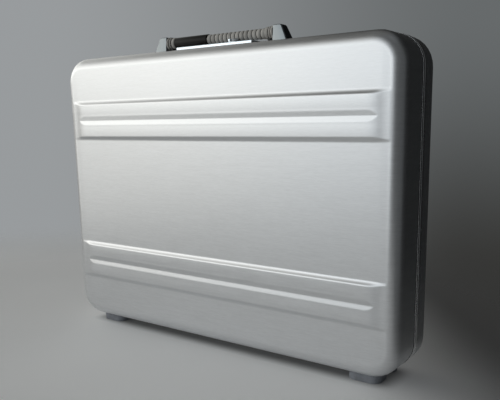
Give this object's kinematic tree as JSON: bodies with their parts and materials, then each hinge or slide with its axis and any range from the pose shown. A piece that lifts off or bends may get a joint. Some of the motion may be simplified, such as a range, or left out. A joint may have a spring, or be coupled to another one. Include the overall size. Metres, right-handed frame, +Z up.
{
  "type": "attache case",
  "caption": "Slim drawn-aluminium attache case standing on rubber feet, with ribbed faces, a bottom-hinged lid, a lift-up grip between end posts and a dial lock plate.",
  "frame": {"origin": "on the floor, under the middle of the closed case standing on its feet", "axes": "+X along the case's width, +Y from the base half to the lid, +Z up towards the handle"},
  "size_m": [0.4582, 0.082, 0.3533],
  "materials": {
    "satin_aluminium": "satin anodised, fine brushed grain",
    "bead_aluminium": "polished bead",
    "bright_plate": "bright brushed plate",
    "steel": "plain zinc plated steel",
    "bronze": "plain bearing bronze",
    "foot_rubber": "dark grey moulded rubber",
    "seal_rubber": "black sponge rubber",
    "grip_rubber": "grey ribbed rubber",
    "grip_black": "smooth dark sleeve",
    "dial_black": "black with pale numbers",
    "cover_black": "fine textured plastic",
    "lining_cloth": "charcoal woven cloth on board",
    "pocket_cloth": "charcoal cloth with bound edge"
  },
  "bodies": {
    "base": {"base_shell": "satin_aluminium", "base_frame": "bead_aluminium", "gasket": "seal_rubber", "base_lining": "lining_cloth", "mechanism_cover": "cover_black", "foot_rivets_base": "steel", "hinge_rivets_base": "steel", "post_screws": "steel", "lock_plate": "bright_plate", "plate_screws": "steel", "lock_case": "steel", "dial_spindle": "steel", "foot_base_left": "foot_rubber", "hinge_base_leaf_left": "steel", "hinge_pin_left": "steel", "handle_post_left": "satin_aluminium", "handle_backing_left": "steel", "guide_bush_left": "bronze", "bar_guide_left": "cover_black", "foot_base_right": "foot_rubber", "hinge_base_leaf_right": "steel", "hinge_pin_right": "steel", "handle_post_right": "satin_aluminium", "handle_backing_right": "steel", "guide_bush_right": "bronze", "bar_guide_right": "cover_black"},
    "lid": {"lid_shell": "satin_aluminium", "lid_frame": "bead_aluminium", "lid_lining": "lining_cloth", "lid_pocket": "pocket_cloth", "keeper_rivets": "steel", "foot_rivets_lid": "steel", "hinge_rivets_lid": "steel", "keeper_left": "steel", "foot_lid_left": "foot_rubber", "hinge_lid_leaf_left": "steel", "keeper_right": "steel", "foot_lid_right": "foot_rubber", "hinge_lid_leaf_right": "steel"},
    "grip": {"lift_bow": "steel", "smooth_sleeve": "grip_black", "ribbed_sleeve": "grip_rubber", "collar_left": "grip_rubber", "rod_stop_left": "steel", "collar_right": "grip_rubber", "rod_stop_right": "steel"},
    "lock": {"thumb_slide": "bright_plate", "lock_bar": "steel", "bolt_left": "steel", "bolt_right": "steel"},
    "number_dial_1": {"dial_1": "dial_black"},
    "number_dial_2": {"dial_2": "dial_black"},
    "number_dial_3": {"dial_3": "dial_black"}
  },
  "joints": [
    {"name": "lid_hinge", "type": "hinge", "parent": "base", "child": "lid", "pos_m": [0, 0.0078, 0.0062], "axis": [-1, 0, 0], "range_deg": [0, 100]},
    {"name": "grip_lift", "type": "slide", "parent": "base", "child": "grip", "axis": [0, 0, 1], "range_m": [0, 0.022]},
    {"name": "lock_slide", "type": "slide", "parent": "base", "child": "lock", "axis": [1, 0, 0], "range_m": [0, 0.008]},
    {"name": "dial_1_turn", "type": "hinge", "parent": "base", "child": "number_dial_1", "pos_m": [-0.025, -0.0168, 0.3365], "axis": [1, 0, 0], "continuous": true},
    {"name": "dial_2_turn", "type": "hinge", "parent": "base", "child": "number_dial_2", "pos_m": [-0.016, -0.0168, 0.3365], "axis": [1, 0, 0], "continuous": true},
    {"name": "dial_3_turn", "type": "hinge", "parent": "base", "child": "number_dial_3", "pos_m": [-0.007, -0.0168, 0.3365], "axis": [1, 0, 0], "continuous": true}
  ]
}
